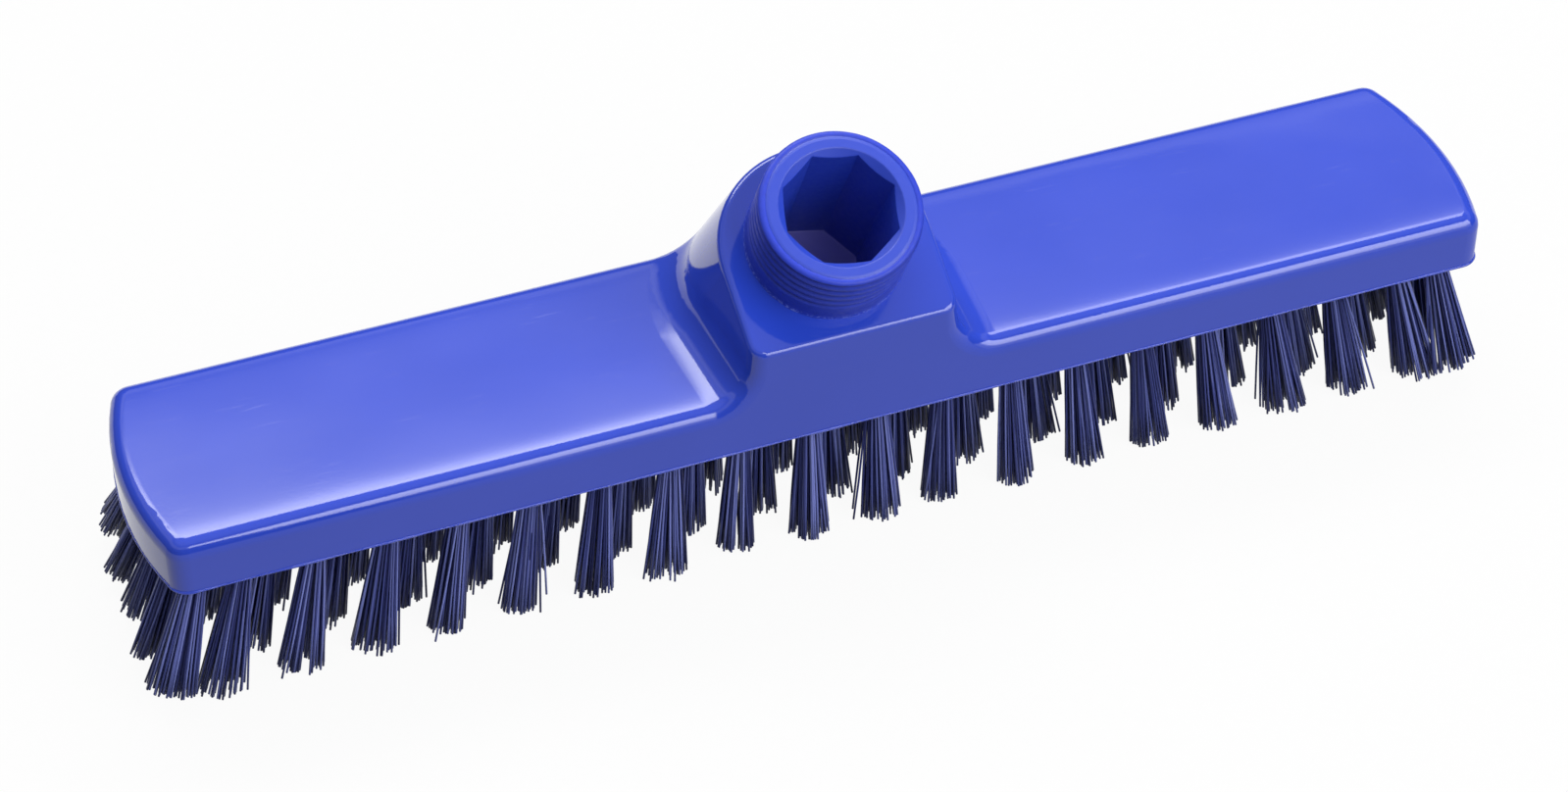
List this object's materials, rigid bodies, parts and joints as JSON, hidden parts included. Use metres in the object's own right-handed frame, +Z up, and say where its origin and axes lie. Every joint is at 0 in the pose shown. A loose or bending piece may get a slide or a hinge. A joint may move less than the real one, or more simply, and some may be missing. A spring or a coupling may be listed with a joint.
{
  "type": "scrub brush",
  "caption": "Scrub brush head: long moulded plastic block, slanted threaded collar with an octagonal handle socket, and staggered rows of fanned bristle tufts set on metal anchors.",
  "frame": {"origin": "on the floor at the bristle tips, under the middle of the brush", "axes": "+X along the block, +Y to the back, away from the collar's lean, +Z up"},
  "size_m": [0.304, 0.0654, 0.0909],
  "materials": {
    "block": "glossy moulded royal blue",
    "bristle": "navy bristles",
    "anchor": "plain wire strip"
  },
  "bodies": {
    "root": {"brush_block": "block", "bristle_column_01": "bristle", "bristle_column_02": "bristle", "bristle_column_03": "bristle", "bristle_column_04": "bristle", "bristle_column_05": "bristle", "bristle_column_06": "bristle", "bristle_column_07": "bristle", "bristle_column_08": "bristle", "bristle_column_09": "bristle", "bristle_column_10": "bristle", "bristle_column_11": "bristle", "bristle_column_12": "bristle", "bristle_column_13": "bristle", "bristle_column_14": "bristle", "bristle_column_15": "bristle", "bristle_column_16": "bristle", "bristle_column_17": "bristle", "bristle_column_18": "bristle", "bristle_column_19": "bristle", "bristle_column_20": "bristle", "anchor_column_01": "anchor", "anchor_column_02": "anchor", "anchor_column_03": "anchor", "anchor_column_04": "anchor", "anchor_column_05": "anchor", "anchor_column_06": "anchor", "anchor_column_07": "anchor", "anchor_column_08": "anchor", "anchor_column_09": "anchor", "anchor_column_10": "anchor", "anchor_column_11": "anchor", "anchor_column_12": "anchor", "anchor_column_13": "anchor", "anchor_column_14": "anchor", "anchor_column_15": "anchor", "anchor_column_16": "anchor", "anchor_column_17": "anchor", "anchor_column_18": "anchor", "anchor_column_19": "anchor", "anchor_column_20": "anchor"}
  },
  "joints": []
}
